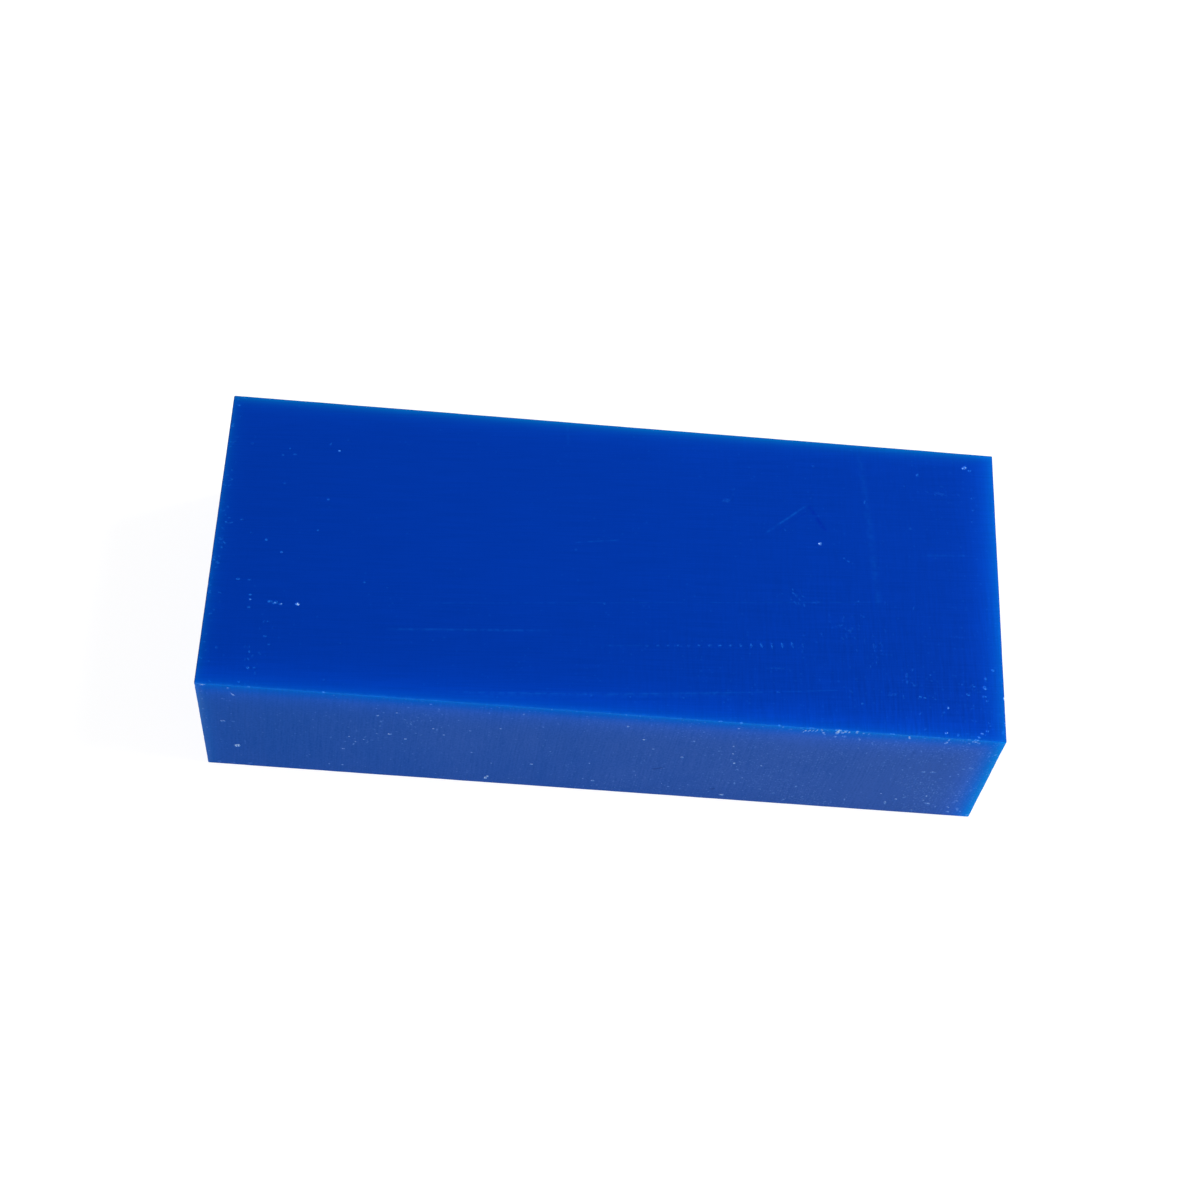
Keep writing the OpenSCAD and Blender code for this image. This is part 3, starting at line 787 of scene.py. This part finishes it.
def edgeHighlightGroup():
    # a painted highlight along the edges: exp(-distance / width), where the distance to the nearest edge
    # is the sum of the two smaller of the point's three gaps to the planes of the block, broken up by
    # noise
    tree, start, end = newGroup("edgeRub", ("Point",), ("Width",), "Rub")
    point = vectorMaths("SUBTRACT", start["Point"], midPoint)
    gap = vectorMaths("SUBTRACT", halfSides, vectorMaths("ABSOLUTE", point))
    x, y, z = split(gap)
    distance = minus(plus(x, y, z), largest(x, y, z))
    fall = maths("EXPONENT", over(times(distance, -1.0), start["Width"]))
    patches = ranged(noise(start["Point"], **edgeHighlightAndRim["noise"]), *edgeHighlightAndRim["patches"])
    tree.links.new(times(fall, patches), end["Rub"])
    return tree


def linesGroup():
    # noise drawn out along one direction: its place along is divided by the length of a line and its
    # place across by the pitch, so that it comes out as fine broken lines from 0 to 1
    tree, start, end = newGroup("toolLines", ("Point", "Along", "Across"), ("Length", "Pitch"), "Lines")
    along = over(dot(start["Point"], start["Along"]), start["Length"])
    across = over(dot(start["Point"], start["Across"]), start["Pitch"])
    drawnOut = noise(joined(along, across), "2D", **toolNoise)
    tree.links.new(ranged(drawnOut, *toolSpread), end["Lines"])
    return tree


def flecksGroup():
    # a dot in some cells of a grid of chance points: the share decides how many of them hold a dot, and
    # each dot's radius is the size times the cell's own chance number
    tree, start, end = newGroup("flecks", ("Point",), ("Spacing", "Size", "Share"), "Flecks")
    place = vectorMaths("DIVIDE", start["Point"], start["Spacing"])
    cells = nodeOn({"Vector": place, "Scale": 1.0}, "ShaderNodeTexVoronoi")
    lot = nodeOn({0: cells.outputs["Color"]}, "ShaderNodeSeparateColor").outputs
    chosen = maths("LESS_THAN", lot["Red"], start["Share"])
    gap = times(cells.outputs["Distance"], start["Spacing"])
    radius = times(start["Size"], plus(lot["Green"], flecking["leastSize"]))
    inside = minus(1.0, over(gap, radius), clamp=True)
    fleck = times(inside, plus(lot["Blue"], flecking["leastStrength"]))
    tree.links.new(times(fleck, chosen, clamp=True), end["Flecks"])
    return tree


def scratchGroup():
    # 1 on the line from start to end, falling to 0 at half the width from it, thinner towards both ends
    tree, start, end = newGroup("scratch", ("Point", "Start", "End"), ("Width",), "Scratch")
    offset = vectorMaths("SUBTRACT", start["Point"], start["Start"])
    line = vectorMaths("SUBTRACT", start["End"], start["Start"])
    travel = over(dot(offset, line), dot(line, line), clamp=True)
    foot = vectorMaths("SCALE", line, Scale=travel)
    distance = vectorMaths("DISTANCE", offset, foot, out="Value")
    inside = minus(1.0, over(times(distance, 2.0), start["Width"]), clamp=True)
    ends = times(travel, minus(1.0, travel), scratchTaper, clamp=True)
    tree.links.new(times(inside, ends), end["Scratch"])
    return tree


def litEdges(point, normal, sawn):
    # the colour that the painted edge glow adds, and how clear of dust and painted floor reflection the
    # wax is near its edges
    glow = glowGroup()
    x = split(point)["X"]

    def glowOf(name, plusGain, minusGain):
        reaches = {side + " Reach": edgeLight[name + "Reach" + side] for side in ("Plus", "Minus")}
        return useGroup(glow, {"Point": point, "Normal": normal, "Bend": edgeLight[name + "Bend"],
                               **reaches, "Plus": plusGain, "Minus": minusGain})

    def gain(name, atRight=1.0):
        both = mixedVector(sawn, edgeLight[name + "Planed"], edgeLight[name + "Sawn"])
        risen = ranged(x, *edgeLight["rightSpan"], 1.0, atRight)
        return vectorMaths("MULTIPLY", both, joined(1.0, 1.0, risen))

    wideAtRight, nearAtRight = edgeLight["rightGain"]
    wide = glowOf("blue", gain("bluePlus", wideAtRight), gain("blueMinus"))
    near = glowOf("green", gain("greenPlus", nearAtRight), gain("greenMinus"))
    green = plus(near, times(wide, edgeLight["greenShare"]))
    blue = plus(wide, times(near, edgeLight["blueShare"]))
    dustEnd = low[0] + edgeLight["leftDustWidth"]
    red = times(sawn, ranged(x, dustEnd, low[0], 0.0, edgeLight["leftDust"]))
    underTop = ranged(x, 0, high[0], *edgeLight["clearUnderTop"])
    clear = glowOf("clear", joined(1.0, 1.0, underTop), (0, 1, 0))
    return coloured(red, green, blue), clear


def toolMarks(point):
    # the tone of the planed face and that of the sawn sides, round 0, and both faces' lines from 0 to 1
    lines = linesGroup()
    x, y = split(point)[:2]

    def drawn(name, along, across):
        run, pitch = toolPaths[name][1:]
        return useGroup(lines, {"Point": point, "Along": along, "Across": across,
                                "Length": run, "Pitch": pitch})

    planedLines = drawn("planed", *turned(toolPaths["planed"][0]))
    chatter = drawn("chatter", *turned(toolPaths["chatter"][0]))
    lean = math.tan(math.radians(toolPaths["sawn"][0]))
    sawnLines = drawn("sawn", (-lean, -lean, 1), (1, 1, lean))
    chatterPatch = times(ranged(x, *chatterAcross), ranged(y, *chatterUp))
    chatterTone = times(minus(chatter, 0.5), chatterPatch)
    planedTone = plus(minus(planedLines, 0.5), chatterTone)
    grain = ranged(noiseAt(point, dusting["grainSize"]), *dusting["grain"])
    sawnTone = plus(times(minus(sawnLines, 0.5), dusting["sawLines"]), grain)
    return planedTone, sawnTone, planedLines, sawnLines


def waxPaleness(tree, point, facing, planed, sawn):
    # the bruise that the mesh carries, broken into crumbs, or a fleck where that is paler
    x, y, z = split(point)
    bruise = addNode(tree, "ShaderNodeAttribute", attribute_name="bruise").outputs["Fac"]
    broken = ranged(noiseAt(point, crumbs["size"]), *crumbs["strength"])
    bruise = times(bruise, broken, clamp=True)
    fromCalm = vectorMaths("DISTANCE", point, flecking["calmMiddle"], out="Value")
    onSawn = times(
        ranged(x, *flecking["sawnAcross"]),
        ranged(z, *flecking["sawnUp"]),
        ranged(fromCalm, *flecking["calmReach"]),
        ranged(maths("ABSOLUTE", facing["X"]), *flecking["onEnds"]),
    )
    onPlaned = times(
        ranged(x, *flecking["planedAcross"]),
        ranged(y, *flecking["planedUp"]),
    )
    patches = ranged(noiseAt(point, flecking["patchSize"]), *flecking["patches"])
    share = times(plus(times(sawn, onSawn), times(planed, onPlaned)), patches)
    group = flecksGroup()
    flecks = []
    for spacing, size, shares, strengths in fleckKinds:
        held = times(share, ranged(sawn, 0, 1, *shares))
        dots = useGroup(group, {"Point": point, "Spacing": spacing, "Size": size, "Share": held})
        flecks.append(times(dots, ranged(sawn, 0, 1, *strengths)))
    return largest(bruise, *flecks)


def cleanColour(point, planed, sawn, lit, clear, planedTone, sawnTone):
    # blue wax, with dust and a painted floor reflection where it is sawn, plus the painted light at the
    # edges, all times the tone of the tool marks
    cloud = noiseAt(point, dusting["cloudSize"])
    # dust and a painted floor reflection, on the sawn sides only
    dustAndReflectionShare = times(
        sawn,
        ranged(split(point)["X"], *dusting["rise"]),
        ranged(cloud, *dusting["cloudDustAndReflection"]),
        minus(1.0, clear, clamp=True),
        plus(1.0, times(sawnTone, dusting["toneInDustAndReflection"])),
    )
    # a paler, brighter blue on the sawn sides, partly painted light
    body = mixed(sawn, wax["deepBlue"], wax["sawnBlueWithPaintedLight"])
    body = mixed(dustAndReflectionShare, body, mixed(1.0, body, wax["dustAndFloorReflection"], "ADD"))
    body = mixed(1.0, body, lit, "ADD")
    tone = plus(
        times(planedTone, dusting["toneInPlaned"], planed),
        times(sawnTone, dusting["toneInSawn"], sawn),
        ranged(cloud, *dusting["cloudTone"]),
    )
    return mixed(1.0, body, coloured(tone, tone, tone), "MULTIPLY")


def edgeHighlightAndRimColour(body, point, facing):
    # a painted highlight along the edges, and darker on the outermost rim of the work face
    x, y, z = split(point)
    # painted highlight along the edges, stronger higher up and on the left half
    highlight = times(
        useGroup(edgeHighlightGroup(), {"Point": point, "Width": edgeHighlightAndRim["width"]}),
        ranged(z, *edgeHighlightAndRim["byHeight"]),
        ranged(x, *edgeHighlightAndRim["byPlace"]),
    )
    body = mixed(highlight, body, wax["edgeHighlightAndScratchBlue"])
    fromEnd = minus(high[0], maths("ABSOLUTE", x))
    rimGap = maths("MINIMUM", fromEnd, minus(high[1], y))
    rim = ranged(rimGap, *edgeHighlightAndRim["rim"])
    rim = times(rim, ranged(facing["Z"], *edgeHighlightAndRim["rimFacing"]))
    return mixed(rim, body, wax["rimBlue"])


def scratchedColour(body, point):
    # each scratch and smudge is laid over what is there already, as strongly as its table says
    scratch = scratchGroup()
    grain = noiseAt(point, scratchGrain["size"], scratchGrain["detail"])
    grain = ranged(grain, *scratchGrain["strength"])

    def drawn(sheet, start, end, wide, strength):
        ends = {"Start": tuple(placeOn(sheet, *start)), "End": tuple(placeOn(sheet, *end))}
        return times(useGroup(scratch, {"Point": point, **ends, "Width": wide}), abs(strength))

    for row in scratches:
        shown = times(drawn("top", *row), grain)
        body = mixed(shown, body, wax["edgeHighlightAndScratchBlue" if row[-1] > 0 else "scratchedDark"])
    for row in smudges:
        body = mixed(drawn("front", *row), body, wax["smudge"])
    return body


def waxMaterial():
    material = bpy.data.materials.new("blueWax")
    material.use_nodes = True
    tree = material.node_tree
    shader = tree.nodes["Principled BSDF"]
    place = addNode(tree, "ShaderNodeTexCoord").outputs["Object"]
    point = vectorMaths("SCALE", place, Scale=1 / mm)  # in mm from here on
    normal = addNode(tree, "ShaderNodeNewGeometry").outputs["Normal"]
    facing = split(normal)
    planed = ranged(maths("ABSOLUTE", facing["Z"]), *wax["planedFacing"])
    sawn = minus(1.0, planed)
    lit, clear = litEdges(point, normal, sawn)
    planedTone, sawnTone, planedLines, sawnLines = toolMarks(point)

    # colour: a bruise adds the crushed blue up to half its paleness, and from there on turns almost white
    body = cleanColour(point, planed, sawn, lit, clear, planedTone, sawnTone)
    # a painted highlight along the edges, and the darker rim of the work face
    body = edgeHighlightAndRimColour(body, point, facing)
    body = scratchedColour(body, point)
    pale = waxPaleness(tree, point, facing, planed, sawn)
    crushed = mixed(sawn, wax["crushedBlue"], wax["crushedSawn"])
    body = mixed(ranged(pale, 0, 0.5), body, crushed, "ADD")
    body = mixed(ranged(pale, 0.5, 1), body, wax["whiteWax"])

    # finish: satin where it is planed, duller where it is sawn or bruised
    rough = plus(
        times(planed, wax["planedRoughness"]),
        times(sawn, wax["sawnRoughness"]),
        times(minus(planedLines, 0.5), wax["lineRoughness"]),
        times(pale, wax["bruiseRoughness"]),
        clamp=True,
    )
    height = plus(
        times(planedTone, wax["planedGroove"], planed),
        times(sawnLines, wax["sawnGroove"], sawn),
    )
    bump = nodeOn({"Strength": 1.0, "Distance": mm, "Height": height}, "ShaderNodeBump").outputs[0]
    feed(shader, {"Base Color": body, "Roughness": rough, "Normal": bump,
                  "Specular IOR Level": wax["specular"]})
    print("finish:", len(tree.nodes), "nodes")
    return material


waxBlock = makeBlock()
waxBlock.data.materials.append(waxMaterial())
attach(waxBlock, "root")
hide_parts("wax_block")


# Floor, light and camera

studio = {
    "floorSize": 8.0,  # metres
    "floorColour": (0.3, 0.3, 0.3, 1),
    "floorLift": 0.85,  # light that the floor gives off to the eye, over what it reflects
    "horizon": (1.0, 1.0, 1.0, 1),
    "ceiling": (0.03, 0.03, 0.03, 1),
    "skyRise": (0.35, 0.65),  # heights between which the one passes into the other
    "keyPlace": (0.79, 0.144, 0.72),  # metres
    "keySize": 0.6,  # metres
    "keyPower": 11.0,  # watts
    "fillFrom": (-35, 40),  # degrees round and up
    "fillStrength": 1.1,
    "fillSpread": 70,  # degrees
}

view = {
    "place": (-0.02852, -0.27836, 0.48413),  # metres
    "turn": (28.66, -4.736, 2.234),  # degrees
    "lens": 69.92,  # mm
    "sensor": 36,  # mm
    "shiftUp": 0.075,
    "nearest": 0.01,  # metres
}


def addObject(name, data):
    thing = bpy.data.objects.new(name, data)
    bpy.context.scene.collection.objects.link(thing)
    return thing


def makeFloor():
    half = studio["floorSize"] / 2
    corners = [(-half, -half, 0), (half, -half, 0), (half, half, 0), (-half, half, 0)]
    mesh = bpy.data.meshes.new("floor")
    mesh.from_pydata(corners, [], [(0, 1, 2, 3)])
    material = bpy.data.materials.new("paleFloor")
    material.use_nodes = True
    tree = material.node_tree
    rays = addNode(tree, "ShaderNodeLightPath").outputs
    seen = largest(rays["Is Camera Ray"], rays["Is Glossy Ray"], rays["Is Transmission Ray"])
    feed(tree.nodes["Principled BSDF"], {
        "Base Color": studio["floorColour"], "Roughness": 1.0, "Specular IOR Level": 0.0,
        "Emission Color": (1, 1, 1, 1), "Emission Strength": times(seen, studio["floorLift"]),
    })
    mesh.materials.append(material)
    addObject("floor", mesh)


def makeWorld():
    # pale round the horizon, dark overhead
    world = bpy.data.worlds.new("studio")
    bpy.context.scene.world = world
    world.use_nodes = True
    tree = world.node_tree
    direction = addNode(tree, "ShaderNodeTexCoord").outputs["Generated"]
    rise = ranged(split(direction)["Z"], *studio["skyRise"])
    sky = mixed(rise, studio["horizon"], studio["ceiling"])
    tree.links.new(sky, tree.nodes["Background"].inputs["Color"])


def makeSoftbox():
    # a square lamp to the right of the block, turned towards its middle
    lamp = bpy.data.lights.new("softbox", "AREA")
    lamp.energy = studio["keyPower"]
    lamp.size = studio["keySize"]
    softbox = addObject("softbox", lamp)
    softbox.location = studio["keyPlace"]
    softbox.rotation_euler = Vector(studio["keyPlace"]).to_track_quat("Z", "Y").to_euler()
    softbox.visible_camera = False


def makeFill():
    # a soft far lamp, set by the direction that its light comes from
    lamp = bpy.data.lights.new("fillSun", "SUN")
    lamp.energy = studio["fillStrength"]
    lamp.angle = math.radians(studio["fillSpread"])
    azimuth, elevation = studio["fillFrom"]
    sun = addObject("fillSun", lamp)
    sun.rotation_euler = (math.radians(90 - elevation), 0, math.radians(azimuth))


def makeCamera():
    lens = bpy.data.cameras.new("camera")
    lens.sensor_width = view["sensor"]
    lens.lens = view["lens"]
    lens.shift_y = view["shiftUp"]
    lens.clip_start = view["nearest"]
    camera = addObject("camera", lens)
    camera.location = view["place"]
    camera.rotation_euler = [math.radians(angle) for angle in view["turn"]]
    bpy.context.scene.camera = camera


makeFloor()
makeWorld()
makeSoftbox()
makeFill()
makeCamera()
bpy.context.scene.view_settings.view_transform = "Standard"
print("studio: floor, world, softbox, fill and camera")
